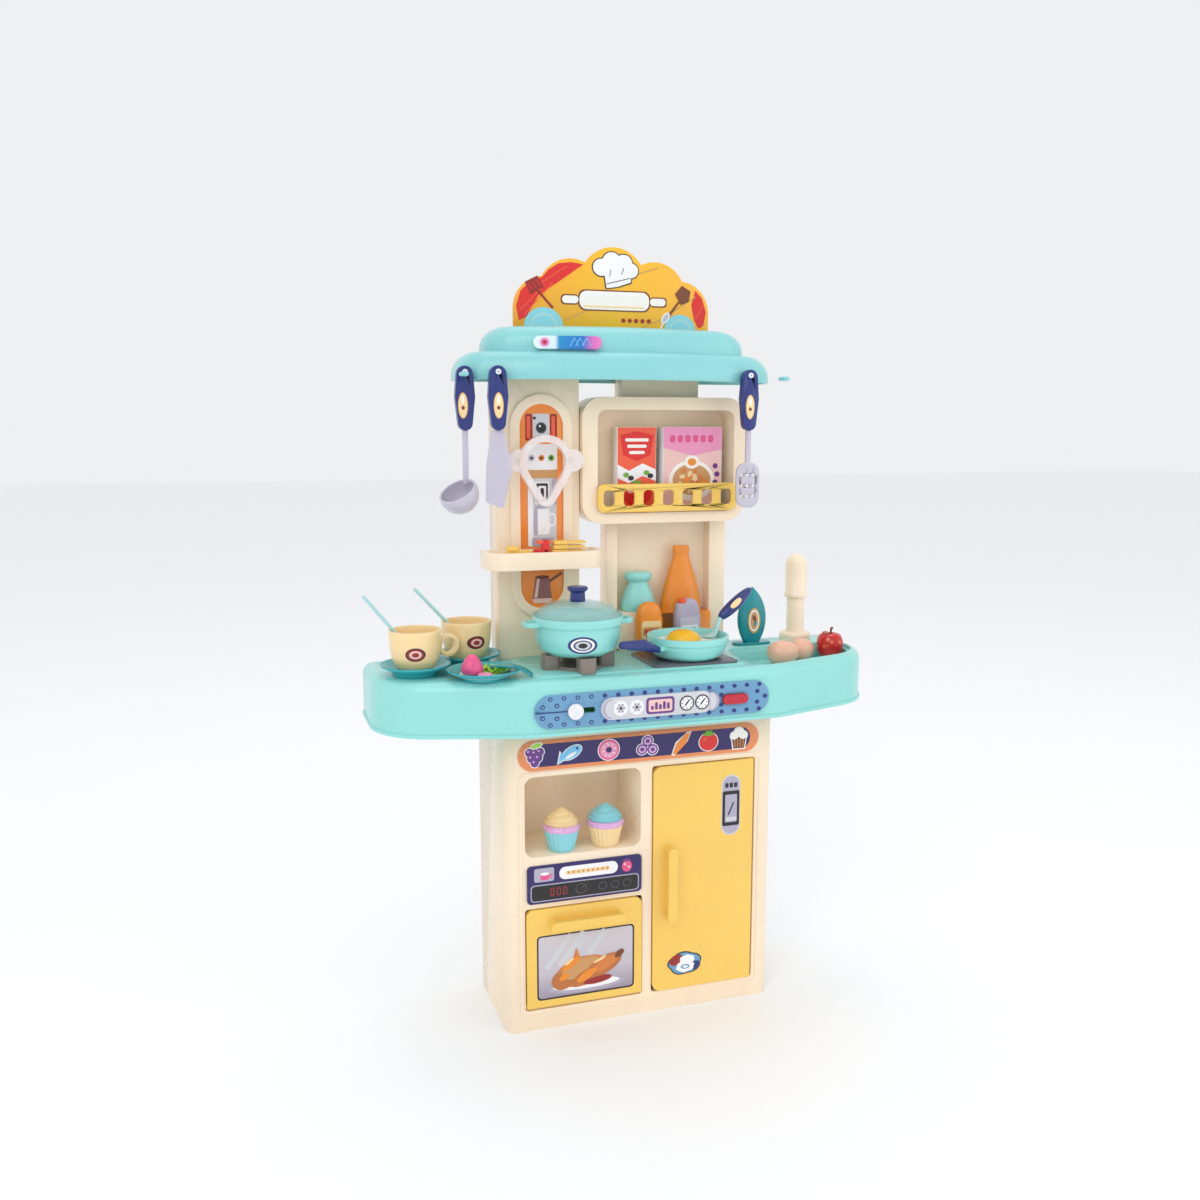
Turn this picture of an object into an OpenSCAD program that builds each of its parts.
// Toy kitchen play set: a cabinet with fridge and oven, a counter with hob and sink, a left tower,
// a right column with a box shelf, a canopy with a sign, and the loose toy crockery and food.
// Frame: origin at the centre of the cabinet's footprint on the floor, +Z up, the front is -Y.

/* [Cabinet] */
// Width of the cabinet
cab_w = 266; // [262:1:270]
// Depth of the cabinet
cab_d = 108; // [106:1:108]
// Height of the cabinet, up to the underside of the counter
cab_h = 292; // [290:1:300]
// Wall thickness of the moulded panels
wall = 3; // [2.6:0.1:3]

/* [Doors] */
// Thickness of both doors, which is also the diameter of their hinge edges
door_t = 7.4; // [6.4:0.2:7.6]
// Radius of the hinge pins
pin_r = 1.5; // [1.2:0.1:1.6]
// Radial clearance of a pin or a peg in its hole
pin_gap = 0.05; // [0.03:0.01:0.1]

/* [Counter] */
// Width of the counter
counter_w = 489; // [484:1:500]
// Height of the counter's skirt
counter_h = 49; // [48:1:52]
// Radius of the counter's rounded top edge
counter_round = 9; // [5:1:10]
// Depth of the sink
sink_d = 14; // [10:1:26]

/* [Uprights] */
// Width of the left tower
tower_w = 80; // [74:1:80]
// Width of the box shelf
box_w = 168; // [160:1:170]
// Height of the box shelf
box_h = 120; // [112:1:122]

/* [Canopy] */
// Width of the canopy at its rim
canopy_w = 312; // [310:1:320]
// Height of the canopy's rim above the floor
canopy_z = 601; // [597:1:603]
// Height of the sign board
sign_h = 77; // [74:1:80]

/* [Crockery] */
// Radius of a cup at its rim
cup_r = 23.5; // [22:0.5:24]
// Height of a cup
cup_h = 36; // [30:1:40]
// Radius of the pot at its rim
pot_r = 41.5; // [38:0.5:42]
// Radius of the pan at its rim
pan_r = 38.5; // [36:0.5:39]
// Radius of the pegs that the utensils hang on
peg_r = 2.5; // [2:0.1:2.6]

/* [Hidden] */
$fn = 64;
eps = 0.01;

// Cabinet
cx = cab_w / 2;
cy = cab_d / 2;
front_lip = 10;               // depth of the front panel's return
oven_x = [-114.5, -1.8];
oven_z = [20.8, 118.8];
fridge_x = [9.5, 113.5];
fridge_z = [20.8, 243.6];
alcove_x = [-115, -2.6];
alcove_z = [169, 245];
alcove_back = 12;             // Y of the alcove's back
door_gap = 1;                 // gap around a door
flange = 2.5;                 // thickness of the returns behind the openings
flange_y = -cy + 8;           // how far back the returns reach
hinge_y = -cy + 2;            // Y of both hinge axes
door_y = [hinge_y - door_t / 2, hinge_y + door_t / 2];
oven_hinge_z = oven_z[0] + door_t / 2;
fridge_hinge_x = fridge_x[1] - door_t / 2;

// Counter
counter_z = cab_h - 1;
top_z = counter_z + counter_h;
top_t = 3;
counter_front = -87;
counter_back = 57;
corner_r = 60;
corner_c = [counter_w / 2 - corner_r, -5];
bow_r = 60;
bow_c = [112, counter_front + bow_r];
back_r = 12;
hob_t = 1.5;                  // height of the raised hob zone
hob_z = top_z + hob_t;
basin_x = 106;
basin_y = 8;
basin_z = top_z - sink_d;

// Uprights
up_back = 54;
tower_x = [-119, -119 + tower_w];
tower_y = 22;
tower_cx = (tower_x[0] + tower_x[1]) / 2 + 2.5;
ring_z = [379, 589];
ring_w = 60;
bead = 9;
shelf_z = [429, 445];
shelf_x = [-136, -24];
shelf_front = -18;
niche_x = [-7.5, 117.7];
niche_in = [3, 101];
neck_x = [7.5, 86.6];
column_y = 32;
column_panel = 47;            // front of the column's full-height panel
box_x = [-38, -38 + box_w];
box_z = [467, 467 + box_h];
box_y = 14;
box_in_x = [box_x[0] + 15, box_x[1] - 12];
box_in_z = [box_z[0] + 10, box_z[1] - 12];
box_in_r = 9;
step_z = 379;                 // top of the step that the jar stands on

// Canopy
tier_z = canopy_z + 26;
crown_z = tier_z + 23;
canopy_back = 57;
peg_z = canopy_z + 6;
ladle_at = [-153, -1.5];       // X, and Y of the handle's middle
knife_at = [-126, -15.5];
skimmer_at = [118, -17.5];
grip_t = 7;                   // thickness of a utensil's handle

// Things on the counter
pot_c = [-60, -40.6];
pot_z = hob_z + 13.5;
pot_h = 35;
pan_c = [49, -39];
pan_z = hob_z + 2;
pan_h = 22;
pan_handle_a = 207;           // direction of the pan's handle
cup_c = [[-205.3, -21], [-151.9, 13.4]];
cup_handle_a = [14, 60];
saucer_r = 31.5;
cup_z = top_z + 5;
plate_c = [-151.4, -55.5];
faucet_c = [196, 26];
post_r = 9;

// ---------- shared shapes ----------

function arc(c, r, a0, a1, n) = [for (i = [0:n]) c + r * [cos(a0 + (a1 - a0) * i / n), sin(a0 + (a1 - a0) * i / n)]];

// Angle at which two circles share their outer tangent, on the front side
function tangent(c1, r1, c2, r2) =
    atan2(c2[1] - c1[1], c2[0] - c1[0]) - acos((r1 - r2) / norm(c2 - c1));

// Bow-fronted outline: a front circle, a corner circle and a small back corner, mirrored about X = 0
function bow_half(c1, r1, c2, r2, back, rb, d) =
    let (t = tangent(c1, r1, c2, r2))
    concat(arc(c1, r1 - d, -90, t, 6), arc(c2, r2 - d, t, 0, 12),
        arc([c2[0] + r2 - rb, back - rb], rb - d, 0, 90, 4));
function bow_outline(c1, r1, c2, r2, back, rb, d) =
    let (h = bow_half(c1, r1, c2, r2, back, rb, d), n = len(h) - 1, first = c1[0] > 0 ? 0 : 1)
    concat(h, [for (i = [n:-1:first]) [-h[i][0], h[i][1]]]);

// Solid through a list of outlines [z, points], each with as many points as the first, lowest first
module loft(rings) {
    n = len(rings[0][1]);
    m = len(rings);
    polyhedron(
        points = [for (r = rings, p = r[1]) [p[0], p[1], r[0]]],
        faces = concat(
            [[for (i = [0:n - 1]) i]],
            [[for (i = [n - 1:-1:0]) (m - 1) * n + i]],
            [for (k = [0:m - 2], i = [0:n - 1]) [k * n + i, (k + 1) * n + i, (k + 1) * n + (i + 1) % n]],
            [for (k = [0:m - 2], i = [0:n - 1]) [k * n + i, (k + 1) * n + (i + 1) % n, k * n + (i + 1) % n]]));
}

module rrect(x, y, r) {
    translate([x[0] + r, y[0]]) square([x[1] - x[0] - 2 * r, y[1] - y[0]]);
    translate([x[0], y[0] + r]) square([x[1] - x[0], y[1] - y[0] - 2 * r]);
    for (cx = [x[0] + r, x[1] - r], cy = [y[0] + r, y[1] - r]) translate([cx, cy]) circle(r);
}

// Stands a flat outline up in the XZ plane, between two depths
module upright(y0, y1) {
    translate([0, y1, 0]) rotate([90, 0, 0]) linear_extrude(y1 - y0) children();
}

module block(x, y, z) {
    translate([x[0], y[0], z[0]]) cube([x[1] - x[0], y[1] - y[0], z[1] - z[0]]);
}

module rod(c, r, z) {
    translate([c[0], c[1], z[0]]) cylinder(h = z[1] - z[0], r = r);
}

// Cylinder along Y
module peg(x, y, z, r) {
    translate([x, y[1], z]) rotate([90, 0, 0]) cylinder(h = y[1] - y[0], r = r);
}

function grow(x, d) = [x[0] - d, x[1] + d];

// ---------- cabinet ----------

module cabinet_shell() color("antiquewhite") {
    y = [-cy + front_lip, cy - wall];
    for (s = [-1, 1]) block([min(s * cx, s * (cx - wall)), max(s * cx, s * (cx - wall))], y, [0, cab_h]);
    block([-cx + wall, cx - wall], y, [0, wall]);
}

module opening(x, z, r, grown) {
    rrect(grow(x, grown), grow(z, grown), r + grown);
}

module cabinet_front() color("antiquewhite") difference() {
    union() {
        difference() {
            front_block(0, 0);
            front_block(wall, wall);
        }
        upright(-cy, flange_y) opening(oven_x, oven_z, 2, door_gap + flange);
        upright(-cy, flange_y) opening(fridge_x, fridge_z, 2, door_gap + flange);
        upright(-cy, alcove_back + flange) opening(alcove_x, alcove_z, 9, flange);
        upright(-cy - 1, -cy) difference() {
            rrect([-120.5, 120.5], [13.5, 249.5], 8);
            rrect([-118.3, 118.3], [15.7, 247.3], 6);
        }
    }
    upright(-cy - 2, flange_y + 1) opening(oven_x, oven_z, 2, door_gap);
    upright(-cy - 2, flange_y + 1) opening(fridge_x, fridge_z, 2, door_gap);
    upright(-cy - 2, alcove_back) opening(alcove_x, alcove_z, 9, 0);
    translate([oven_x[0] - 5, hinge_y, oven_hinge_z]) rotate([0, 90, 0])
        cylinder(h = oven_x[1] - oven_x[0] + 10, r = pin_r + pin_gap);
    translate([fridge_hinge_x, hinge_y, fridge_z[0] - 5])
        cylinder(h = fridge_z[1] - fridge_z[0] + 10, r = pin_r + pin_gap);
}

// Outer body of the front panel, or with an inset its hollow
module front_block(side, floor_z) {
    translate([0, 0, floor_z]) linear_extrude(cab_h) intersection() {
        rrect([-cx + side, cx - side], [-cy + side, 0], 9 - side);
        translate([-cx, -cy]) square([cab_w, front_lip + (side > 0 ? 1 : 0)]);
    }
}

module cabinet_back() color("antiquewhite") difference() {
    block([-cx, cx], [cy - wall, cy], [0, cab_h]);
    for (p = screw_points) peg(p[0], [cy - wall - 1, cy + 1], p[1], 1.6);
}

// Divider between oven and fridge, with the oven's roof
module inner_frame() color("antiquewhite") {
    divider = [1.9, 4.4];
    roof = [123, 125.5];
    y = [flange_y, cy - wall];
    block(divider, y, [wall, cab_h]);
    block([-cx + wall, divider[0]], y, roof);
}

module food_strip() color("chocolate")
    upright(-cy - 1.2, -cy) rrect([-121, 117], [251, 279], 13.9);

module oven_panel() color("midnightblue")
    upright(-cy - 1.5, -cy) rrect([-113.5, -2.2], [124.5, 161], 4);

screw_points = [for (x = [-120, 0, 120], z = [12, 280]) [x, z]];
module back_screws() color("silver")
    for (p = screw_points) {
        peg(p[0], [cy - wall, cy], p[1], 1.5);
        peg(p[0], [cy, cy + 1.6], p[1], 3);
    }

// ---------- doors ----------

module fridge_door() color("goldenrod") {
    upright(door_y[0], door_y[1]) {
        translate([fridge_x[0] + 8, fridge_z[0]]) square([fridge_hinge_x - fridge_x[0] - 8, fridge_z[1] - fridge_z[0]]);
        rrect([fridge_x[0], fridge_x[0] + 40], fridge_z, 8);
    }
    rod([fridge_hinge_x, hinge_y], door_t / 2, fridge_z);
    rod([fridge_hinge_x, hinge_y], pin_r, grow(fridge_z, 4));
    pull([25, 130], 74, 90);
}

// Arched pull on a door's face: centre [x, z], length, and angle of its long side in the face
module pull(at, length, angle) {
    grip = 9;
    proud = 13;
    translate([at[0], door_y[0], at[1]]) rotate([0, -angle, 0]) {
        for (s = [-1, 1]) translate([s * (length / 2 - grip / 2), 0, 0]) rotate([90, 0, 0])
            cylinder(h = proud, r = grip / 2);
        translate([0, -proud + 5, 0]) rotate([90, 0, 0]) linear_extrude(5)
            square([length - grip, grip], center = true);
    }
}

module oven_door() color("goldenrod") difference() {
    union() {
        upright(door_y[0], door_y[1]) {
            translate([oven_x[0], oven_hinge_z]) square([oven_x[1] - oven_x[0], 60]);
            rrect(oven_x, [oven_z[0] + 40, oven_z[1]], 7);
        }
        translate([oven_x[0], hinge_y, oven_hinge_z]) rotate([0, 90, 0])
            cylinder(h = oven_x[1] - oven_x[0], r = door_t / 2);
        translate([oven_x[0] - 4, hinge_y, oven_hinge_z]) rotate([0, 90, 0])
            cylinder(h = oven_x[1] - oven_x[0] + 8, r = pin_r);
        pull([(oven_x[0] + oven_x[1]) / 2, 105], 72, 0);
    }
    upright(door_y[0] - 1, door_y[0] + 2) rrect(window_x, window_z, 4);
}

window_x = [-105, -9.4];
window_z = [29.5, 93];
module oven_window() color("dimgray")
    upright(door_y[0] + 0.3, door_y[0] + 2) rrect(window_x, window_z, 4);

// ---------- counter ----------

function counter_outline(d) = bow_outline(bow_c, bow_r, corner_c, corner_r, counter_back, back_r, d);

module counter_plan(d) polygon(counter_outline(d));

module basin_plan(d) intersection() {
    counter_plan(9 + d);
    rrect([basin_x + d, counter_w], [counter_front, basin_y - d], 20 - d);
}

module countertop() color("mediumturquoise") difference() {
    union() {
        difference() {
            union() {
                loft(concat([[counter_z, counter_outline(0)]],
                    [for (a = [0:30:90])
                        [top_z - counter_round * (1 - sin(a)), counter_outline(counter_round * (1 - cos(a)))]]));
                translate([0, 0, counter_z]) linear_extrude(3) counter_plan(-1.5);
            }
            translate([0, 0, counter_z - 1]) linear_extrude(counter_h - 10) counter_plan(wall);
            translate([0, 0, counter_z + 10]) linear_extrude(counter_h - 10 - top_t) counter_plan(wall + 4);
        }
        linear_extrude_at([cab_h, top_z - top_t]) difference() {
            translate([-cx, -cy]) square([cab_w, cab_d]);
            translate([-cx + wall, -cy + wall]) square([cab_w - 2 * wall, cab_d - 2 * wall]);
        }
        linear_extrude_at([basin_z - top_t, top_z - top_t]) basin_plan(-3);
        linear_extrude_at([top_z - 1, hob_z]) rrect([-112, 98], [-72, 21], 14);
        battery_tray();
        for (x = [-80, 84], z = [303, 323]) block(grow([x, x], 2.5), [counter_front + 1.5, board_y], grow([z, z], 2.5));
    }
    linear_extrude_at([basin_z, top_z - 4]) basin_plan(3);
    linear_extrude_at([top_z - 4 - eps, top_z + 1]) basin_plan(0);
    block([-28, 28], [50, counter_back], [304, 330]);
    block([-32, 32], [counter_back - 2, counter_back + 3], [301, 333]);
    block([slider_x - 3, slider_x + slider_travel + 3], [counter_front - 1, counter_front + 5], grow([slider_z, slider_z], 2.6));
    peg(button_x, [counter_front - 1, counter_front + 5], slider_z, 3.3);
}

module linear_extrude_at(z) translate([0, 0, z[0]]) linear_extrude(z[1] - z[0]) children();

module battery_tray() {
    block([-33, 33], [34, counter_back - 1], [300, 303]);
    block([-33, 33], [31, 34], [300, top_z - top_t]);
    for (s = [-1, 1]) block([s * 31.5 - 1.5, s * 31.5 + 1.5], [33, counter_back - 1], [300, top_z - top_t]);
}

module batteries() color("dimgray")
    for (z = [310.3, 325]) translate([-25, 45, z]) rotate([0, 90, 0]) {
        cylinder(h = 49, r = 7.1);
        cylinder(h = 50.5, r = 2.7);
    }

module battery_cover() color("mediumturquoise")
    block([-31.8, 31.8], [counter_back - 2, counter_back], [301.2, 332.8]);

board_y = -74;
module circuit_board() color("darkgreen") block([-86, 90], [board_y, board_y + 1.6], [299, 327]);

module speaker() color("black") {
    peg(20, [board_y + 1.6, board_y + 6], 313, 9);
    peg(20, [board_y + 6, board_y + 12], 313, 15);
}

panel_x = [-114, 110];
panel_z = [298, 328];
slider_x = -77.5;
slider_z = 312.5;
slider_travel = 16;
button_x = 75.5;
module control_panel() color("steelblue") difference() {
    upright(counter_front - 2, counter_front) rrect(panel_x, panel_z, 14.9);
    upright(counter_front - 3, counter_front + 1)
        rrect([slider_x - 3, slider_x + slider_travel + 3], grow([slider_z, slider_z], 2.6), 2.5);
    upright(counter_front - 3, counter_front + 1)
        rrect([button_x - 12.8, button_x + 12.8], grow([slider_z, slider_z], 4.8), 4.7);
}

module control_capsule() color("whitesmoke")
    upright(counter_front - 4.5, counter_front - 2) rrect([-54, 53], [302.5, 322.5], 9.9);

module panel_slider() color("white") {
    peg(slider_x, [counter_front - 5.5, counter_front - 2.3], slider_z, 7);
    block(grow([slider_x, slider_x], 1.6), [counter_front - 3, counter_front + 4], grow([slider_z, slider_z], 2));
}

module panel_button() color("firebrick") {
    upright(counter_front - 4.4, counter_front - 1.9) rrect([button_x - 12.5, button_x + 12.5], grow([slider_z, slider_z], 4.5), 4.4);
    peg(button_x, [counter_front - 2, counter_front + 4.5], slider_z, 3);
}

module hob_plate() color("dimgray") linear_extrude_at([hob_z, pan_z]) rrect([4, 88], [-70, -3], 4);

module pot_stand() color("dimgray") {
    rod(pot_c, 22, [hob_z, hob_z + 3]);
    for (a = [0:90:270]) translate([pot_c[0], pot_c[1], hob_z]) rotate([0, 0, a])
        linear_extrude_at([0, 13.5]) rrect([18, 34], [-8, 8], 4);
}

module faucet_post() color("antiquewhite") {
    translate([faucet_c[0], faucet_c[1], top_z]) rotate_extrude()
        polygon(concat([[0, 0], [16, 0]], arc([12, 6], 4, 0, 90, 5), [[post_r, 10], [post_r, 68], [0, 68]]));
}

module faucet_head() color("antiquewhite")
    translate([faucet_c[0], faucet_c[1], top_z]) rotate_extrude()
        polygon(concat([[post_r + pin_gap, 46], [11.6, 46], [11.6, 50], [10.8, 51], [10.8, 80]],
            arc([0, 80], 10.8, 0, 90, 8), [[0, 69], [post_r + pin_gap, 69]]));

// ---------- uprights ----------

module stadium(cx, z, w) rrect([cx - w / 2, cx + w / 2], z, w / 2 - eps);

module tower_front() color("antiquewhite") difference() {
    union() {
        difference() {
            block(tower_x, [tower_y, up_back], [top_z, tier_z - skin]);
            block(grow(tower_x, -2.5), [tower_y + 2.5, up_back + 1], [top_z - 1, tier_z - 5]);
        }
        upright(tower_y - 3, tower_y) difference() {
            stadium(tower_cx, ring_z, ring_w);
            stadium(tower_cx, grow(ring_z, -bead), ring_w - 2 * bead);
        }
    }
    block([shelf_x[0], shelf_x[1]], [tower_y - 5, tower_y], shelf_z);
}

module tower_back() color("antiquewhite")
    block(grow(tower_x, -2.5), [up_back - 2.5, up_back], [top_z, tier_z - 5]);

module coffee_inset() color("darkorange") difference() {
    upright(tower_y - 1.4, tower_y) stadium(tower_cx, grow(ring_z, -bead), ring_w - 2 * bead);
    block([shelf_x[0], shelf_x[1]], [tower_y - 5, tower_y + 1], shelf_z);
}

module filter_ring() color("gainsboro") {
    y = [2, 10];
    upright(y[0], y[1]) difference() {
        teardrop(0);
        teardrop(6.5);
    }
    for (x = [tower_cx - 25, tower_cx + 26]) {
        difference() {
            peg(x, [y[0] + 1.5, y[1] - 1.5], 528, 10.5);
            upright(0, 12) teardrop(3);
        }
        peg(x, [y[1] - 2, tower_y - 3], 528, 3);
    }
}

module teardrop(d) hull() {
    translate([tower_cx, 526]) circle(25.5 - d, $fn = 48);
    translate([tower_cx, 495]) circle(9.5 - d, $fn = 24);
}

module tower_shelf() color("antiquewhite") difference() {
    linear_extrude_at(shelf_z) difference() {
        rrect(shelf_x, [shelf_front, tower_y + 22], 19);
        translate([shelf_x[0] - 1, tower_y]) square([200, 40]);
    }
    linear_extrude_at([shelf_z[1] - 2.5, shelf_z[1] + 1]) difference() {
        rrect(grow(shelf_x, -5), [shelf_front + 5, tower_y + 22], 14);
        translate([shelf_x[0] - 1, tower_y - 4]) square([200, 40]);
    }
}

module column() color("antiquewhite") {
    block(niche_x, [column_panel, up_back], [top_z, box_z[0] - eps]);
    block(neck_x, [column_panel, up_back], [box_z[0] - eps, tier_z - skin]);
    for (x = [[niche_x[0], niche_in[0]], [niche_in[1], niche_x[1]]])
        block(x, [column_y, column_panel], [top_z, box_z[0]]);
    block(neck_x, [column_y, column_panel], [box_z[1], tier_z - skin]);
    block([niche_in[0], 42], [20, column_panel], [hob_z, step_z]);
}

module box_shelf() color("antiquewhite") {
    deep = column_panel;
    upright(box_y, box_y + 2.5) difference() {
        rrect(box_x, box_z, 20);
        rrect(box_in_x, box_in_z, box_in_r);
    }
    upright(box_y + 2.5, deep) difference() {
        rrect(box_x, box_z, 20);
        rrect(grow(box_x, -2.5), grow(box_z, -2.5), 17.5);
    }
    upright(box_y + 2.5, deep) difference() {
        rrect(grow(box_in_x, 2.5), grow(box_in_z, 2.5), box_in_r + 2.5);
        rrect(box_in_x, box_in_z, box_in_r);
    }
    upright(deep - 2.5, deep) rrect(grow(box_x, -1), grow(box_z, -1), 19);
}

rail_z = [478, 505];
slot_n = 7;
slot_w = 11;
module basket_rail() color("gold") {
    pitch = (box_in_x[1] - box_in_x[0]) / slot_n;
    upright(box_y - 5, box_y - 2) difference() {
        rrect(grow(box_in_x, 1), rail_z, 6);
        for (i = [0:slot_n - 1]) {
            slot_cx = box_in_x[0] + pitch * (i + 0.5);
            rrect([slot_cx - slot_w / 2, slot_cx + slot_w / 2], [rail_z[0] + 6, rail_z[1] - 6], 4);
        }
    }
    for (x = [box_in_x[0] - 1, box_in_x[1] - 2]) block([x, x + 3], [box_y - 2, box_y], grow(rail_z, -6));
}

// ---------- canopy ----------

canopy_bow = 350;             // radius of the canopy's front
// The corner circle touches the bow from inside, less a hair
function canopy_outline(half_w, front, corner, back) =
    let (x = half_w - corner, y = front + canopy_bow - sqrt(pow(canopy_bow - corner + 0.5, 2) - x * x))
    bow_outline([0, front + canopy_bow], canopy_bow, [x, y], corner, back, 12, 0);

// Domed tier: a low upright rim, then a quarter-round up to its flat top
module tier(half_w, front, corner, back, z, inset) {
    rim = 4;
    loft(concat([[z[0], canopy_outline(half_w, front, corner, back)]],
        [for (a = [0:15:90]) let (d = inset * (1 - cos(a)))
            [z[0] + rim + (z[1] - z[0] - rim) * sin(a), canopy_outline(half_w - d, front + d * 0.7, corner, back)]]));
}

canopy_front = -30;
skin = 2.5;                    // thickness of the canopy's roof and back
cap_front = -15;
module canopy() color("mediumturquoise") difference() {
    union() {
        difference() {
            union() {
                tier(canopy_w / 2, canopy_front, 32, canopy_back, [canopy_z, tier_z], 22);
                tier(canopy_w / 2 - 27, cap_front, 30, canopy_back, [tier_z - 0.5, crown_z], 21);
            }
            tier(canopy_w / 2 - 3, canopy_front + 3, 29, canopy_back - skin, [canopy_z - 3, tier_z - skin], 20);
            tier(canopy_w / 2 - 30, cap_front + 3, 27, canopy_back - skin, [tier_z - 3, crown_z - skin], 20);
        }
        intersection() {
            for (at = [ladle_at, knife_at, skimmer_at])
                peg(at[0], [at[1] - grip_t / 2 - 1, at[1] + 18], peg_z, peg_r);
            block([-200, 200], [-60, 40], [canopy_z, tier_z]);
        }
    }
    light_bar_shape();
}

light_at = [-59.5, -8.8, 634];
module light_bar_shape() translate([light_at[0], light_at[1], light_at[2]]) rotate([0, 0, -10])
    upright(-6, 0) rrect([-31, 31], [-5.7, 5.7], 5.6);

module light_bar() color("royalblue") light_bar_shape();

module sign_board() color("gold") upright(36, 39.5) sign_outline();

// Cloud of five lobes standing on the canopy's crown
module sign_outline() translate([0, crown_z]) intersection() {
    union() {
        translate([0, sign_h - 33]) circle(33);
        for (s = [-1, 1]) {
            translate([s * 42, sign_h - 44]) circle(32);
            translate([s * 68, 18]) circle(30);
        }
        translate([-98, 0]) square([196, 18]);
    }
    translate([-100, 0]) square([200, sign_h]);
}

// ---------- hanging utensils ----------

// Grip with a peg hole near its top, hanging from a point [x, y of its middle]
module grip(at) color("midnightblue") difference() {
    upright(at[1] - grip_t / 2, at[1] + grip_t / 2) hull() {
        translate([at[0], peg_z - 2]) circle(7.5, $fn = 32);
        translate([at[0], peg_z - 22]) circle(9, $fn = 32);
        translate([at[0], peg_z - 45]) circle(6.5, $fn = 32);
    }
    peg(at[0], [at[1] - 10, at[1] + 10], peg_z, peg_r + pin_gap);
}

neck_z = [peg_z - 92, peg_z - 51.5];
module neck(at, z) block([at[0] - 2.5, at[0] + 2.5], [at[1] - 1.5, at[1] + 1.5], z);

module ladle_handle() grip(ladle_at);
module ladle() color("silver") {
    neck(ladle_at, [neck_z[0] - 7, neck_z[1]]);
    translate([ladle_at[0] - 8, ladle_at[1] - 8, neck_z[0] - 16]) rotate([20, -30, 0]) difference() {
        sphere(18);
        sphere(16.2);
        translate([-20, -20, 4]) cube(40);
    }
}

module knife_handle() grip(knife_at);
module cake_knife() color("silver") upright(knife_at[1] - 1, knife_at[1] + 1) hull() {
    translate([knife_at[0] - 6, neck_z[1] - 2]) square([12, 2]);
    translate([knife_at[0] + 6, neck_z[1] - 36]) circle(6, $fn = 32);
    translate([knife_at[0] + 2, neck_z[1] - 66]) circle(3, $fn = 24);
    translate([knife_at[0] - 10, neck_z[1] - 62]) circle(2, $fn = 24);
    translate([knife_at[0] - 9, neck_z[1] - 30]) circle(2, $fn = 24);
}

module skimmer_handle() grip(skimmer_at);
module skimmer() color("silver") {
    neck(skimmer_at, neck_z + [6, 0]);
    upright(skimmer_at[1] - 1.5, skimmer_at[1] + 1.5) difference() {
        rrect([skimmer_at[0] - 12, skimmer_at[0] + 12], [neck_z[0] - 33, neck_z[0] + 10], 10);
        for (x = [-6, 0, 6], z = [-22, -12, -2]) translate([skimmer_at[0] + x, neck_z[0] + z]) circle(1.8);
    }
}

// ---------- things on the hob ----------

module at_c(c, z) translate([c[0], c[1], z]) children();

module pot() color("mediumturquoise") at_c(pot_c, pot_z) {
    rotate_extrude() polygon([[0, 0], [27, 0], [35, 5], [38.5, 14], [39.5, 26], [pot_r, 28], [pot_r, pot_h],
        [pot_r - 2.5, pot_h], [37.5, 26], [36.5, 14], [33, 6], [26, 2], [0, 2]]);
    for (s = [0, 1]) mirror([s, 0, 0]) translate([42.5, 0, pot_h - 8.5]) linear_extrude(4) difference() {
        rrect([-9, 9], [-11, 11], 7);
        rrect([-3, 5], [-6.5, 6.5], 3);
        translate([-9.1, -12]) square([4.1, 24]);
    }
}

module pot_lid() color("lightcyan") at_c(pot_c, pot_z + pot_h) rotate_extrude()
    polygon([[0, 12.5], [16, 12], [27, 10.4], [33.5, 7], [36.5, 1.8], [pot_r - 0.5, 1.8], [pot_r - 0.5, 0], [35, 0],
        [32, 5.6], [26.5, 8.4], [16, 10], [0, 10.5]]);

module lid_knob() color("midnightblue") at_c(pot_c, pot_z + pot_h + 12.5) rotate_extrude()
    polygon([[0, 0], [7, -0.2], [7, 2], [6.6, 8], [9.2, 10.4], [9.4, 12], [8.4, 13.4], [0, 13.4]]);

module pan() color("mediumturquoise") at_c(pan_c, pan_z) {
    rotate_extrude() polygon([[0, 0], [26, 0], [33, 4], [36.5, 12], [37, 15], [pan_r, 16], [pan_r, pan_h],
        [pan_r - 2.2, pan_h], [35, 15], [31.5, 5.5], [25, 2], [0, 2]]);
    rotate([0, 0, pan_handle_a]) translate([35.4, -6, 12]) cube([8.4, 12, 3.9]);
}

module pan_handle() color("midnightblue") at_c(pan_c, pan_z + 12) rotate([0, 0, pan_handle_a]) hull() {
    translate([43.8, -5, -1]) cube([2, 10, 5]);
    translate([62, 0, 8]) sphere(5, $fn = 24);
    translate([89, 0, 11]) sphere(3.6, $fn = 24);
}

// The white rests on the flare of the pan's wall
module fried_egg() color("gold") {
    at_c(pan_c, pan_z) rotate_extrude() polygon([[0, 13.6], [33.6, 13.6], [34.2, 14.6], [33.4, 16.4], [0, 16.4]]);
    at_c(pan_c + [-3.8, 1.2], pan_z + 16) rotate_extrude() polygon(concat([[0, 0]], arc([0, -7], 17.5, 24, 90, 8)));
}

// Turner leaning over the pan's rim: its blade lies on the egg
module turner() color("midnightblue") {
    hull() {
        translate([84, -31.5, 377]) sphere(3.6, $fn = 24);
        translate([101, -28, 389]) sphere(6, $fn = 24);
        translate([120, -21, 402]) sphere(3.8, $fn = 24);
    }
    hull() {
        translate([84, -32, 376]) sphere(2, $fn = 16);
        translate([78, -36, 363.5]) sphere(1.5, $fn = 16);
    }
    hull() {
        translate([78, -36, 363.5]) sphere(1.5, $fn = 16);
        translate([69.5, -31, 362.3]) sphere(1, $fn = 16);
        translate([68.5, -43, 362.3]) sphere(1, $fn = 16);
    }
}

// ---------- crockery ----------

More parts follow.
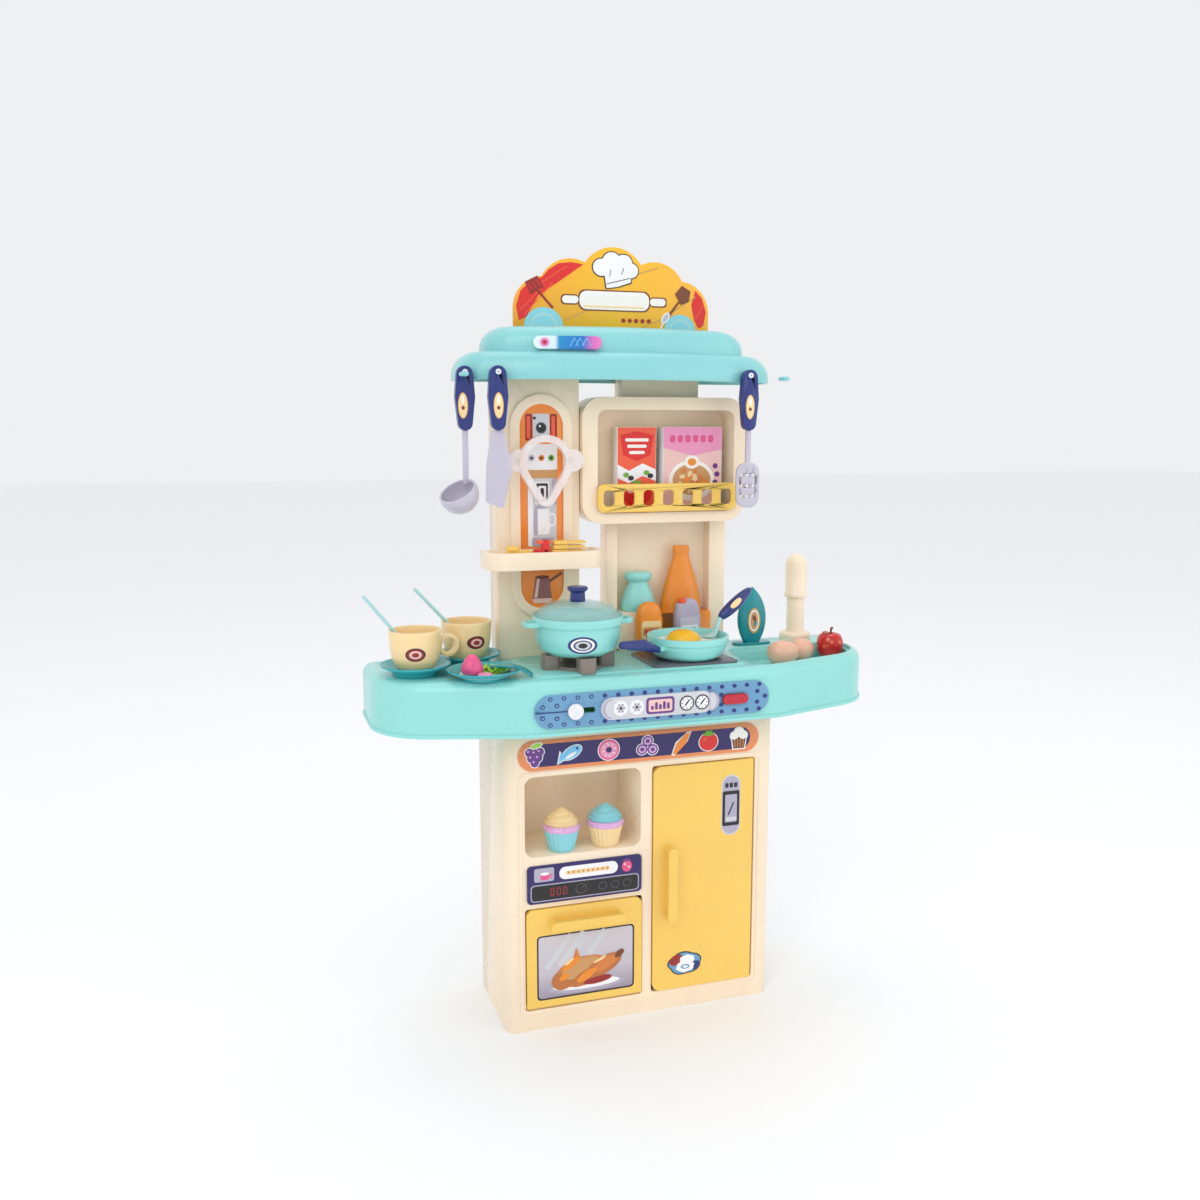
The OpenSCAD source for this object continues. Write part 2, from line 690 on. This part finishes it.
module saucers() color("darkcyan") for (c = cup_c) at_c(c, top_z) rotate_extrude()
    polygon([[0, 3], [18, 3], [18.5, 0], [20.5, 0], [21.5, 4], [saucer_r, 9], [saucer_r, 10.6], [21, 5.9], [18, 5], [0, 5]]);

module cups() color("wheat") for (i = [0, 1]) at_c(cup_c[i], cup_z) {
    rotate_extrude() polygon([[0, 0], [14.5, 0], [18, 3], [20.8, 9], [22.4, 18], [cup_r, cup_h], [cup_r - 1.8, cup_h],
        [20.6, 18], [19, 9.6], [16.6, 4.6], [14, 2.2], [0, 2.2]]);
    rotate([0, 0, cup_handle_a[i]]) translate([31.5, 0, 19]) rotate([90, 0, 0]) translate([0, 0, -2.5]) linear_extrude(5) difference() {
        circle(10.4);
        circle(6.4);
    }
}

// One stick leans over the left rim of each cup
module stir_sticks() color("lightskyblue") for (i = [0, 1]) at_c(cup_c[i], cup_z + 2.4) hull() {
    translate([6.2 + 3.6 * i, -2, 1.9]) sphere(1.6, $fn = 16);
    translate([-43.5 - 3 * i, 4, 64]) sphere(1.6, $fn = 16);
}

module plate() color("darkcyan") at_c(plate_c, top_z) rotate_extrude()
    polygon([[0, 2], [16, 2], [17, 0], [19, 0], [20, 2.4], [32, 7.4], [32, 9], [20, 4], [0, 4]]);

module toy_salad() color("limegreen") at_c(plate_c, top_z + 4) {
    translate([-10.5, -2.5, 0.1]) rotate_extrude() polygon([[0, 0], [8.6, 0], [9.6, 3], [8, 9], [4.6, 16], [2, 18.4], [0, 18.8]]);
    for (i = [0:2]) translate([8 + 4.2 * i, 1 - 2.3 * i, i]) cylinder(h = 2.2, r = 7.6);
    translate([17, -4, 5.4]) rotate([0, 0, -18]) translate([-8, -3, 0]) cube([40, 6, 2]);
}

module jar() color("mediumturquoise") at_c([25, 32.5], step_z) scale([1, 0.77, 1]) rotate_extrude()
    polygon([[0, 0], [16, 0], [17.6, 2], [17.4, 8], [14.5, 18], [10.6, 26], [10.4, 29], [13, 31], [13.8, 33.5],
        [13.8, 36], [12, 38.5], [0, 38.5]]);

module orange_bottle() color("darkorange") {
    block([47, 99.5], [24, column_panel - 0.4], [hob_z, 376]);
    translate([71.4, 35, 376 - eps]) scale([1, 0.52, 1]) rotate_extrude()
        polygon([[0, 0], [21.4, 0], [21, 10], [18, 24], [12, 44], [8.6, 54], [8, 58], [8.8, 60], [8.8, 64], [7.4, 66], [0, 66]]);
}

module sauce_bottles() color("sandybrown") {
    for (b = [[28.2, 49], [68.2, 51]]) translate([0, 10, 0]) upright(-7.5, 7.5) {
        translate([b[0] - 13.5, hob_z]) square([27, b[1] - 13.5]);
        translate([b[0], hob_z + b[1] - 13.5]) circle(13.5);
    }
}

module soap_bottle() color("teal") {
    linear_extrude_at([top_z, top_z + 2.5]) rrect([124, 164], [13, 29], 7);
    upright(15, 27) intersection() {
        translate([144 - 27.5, top_z + 26]) circle(43);
        translate([144 + 27.5, top_z + 26]) circle(43);
        translate([104, top_z + 2]) square([80, 70]);
    }
}

module sink_food() color("peachpuff") {
    for (c = [[158, -25], [187, -10]]) at_c(c, basin_z + 11.02) scale([1.28, 1, 1]) sphere(11);
    at_c([217.5, -9.5], basin_z + 13.3) scale([1, 1, 0.98]) sphere(13.5);
}

// ---------- food and cutlery on the shelves ----------

module cupcakes() color("pink") for (x = [-76, -33]) at_c([x, -39], alcove_z[0]) rotate_extrude()
    polygon(concat([[0, 0], [11, 0], [15.5, 19], [17.5, 20], [17.5, 24]], arc([0, 24], 17, 5, 90, 8)));

module food_boxes() color("tomato") {
    block([0, 40], [24, 40], [box_in_z[0], box_in_z[0] + 82]);
    block([46.5, 108.5], [22, 40], [box_in_z[0], box_in_z[0] + 82]);
}

module shelf_cutlery() color("gold") {
    z = shelf_z[1] - 2.5;
    block([-118, -92], [-9, 0], [z, z + 8.5]);
    block([-91.5, -75], [-9, 1], [z, z + 13]);
    block([-74.5, -43], [-10, 5], [z, z + 12]);
}

cabinet_shell();
cabinet_front();
cabinet_back();
inner_frame();
food_strip();
oven_panel();
countertop();
control_panel();
control_capsule();
hob_plate();
pot_stand();
faucet_post();
tower_front();
tower_back();
coffee_inset();
filter_ring();
tower_shelf();
column();
box_shelf();
basket_rail();
canopy();
light_bar();
sign_board();
circuit_board();
speaker();
batteries();
battery_cover();
back_screws();
fridge_door();
oven_door();
oven_window();
faucet_head();
ladle();
ladle_handle();
cake_knife();
knife_handle();
skimmer();
skimmer_handle();
pot();
pot_lid();
lid_knob();
pan();
pan_handle();
fried_egg();
turner();
saucers();
cups();
stir_sticks();
plate();
toy_salad();
jar();
orange_bottle();
sauce_bottles();
soap_bottle();
sink_food();
cupcakes();
food_boxes();
panel_slider();
panel_button();
shelf_cutlery();
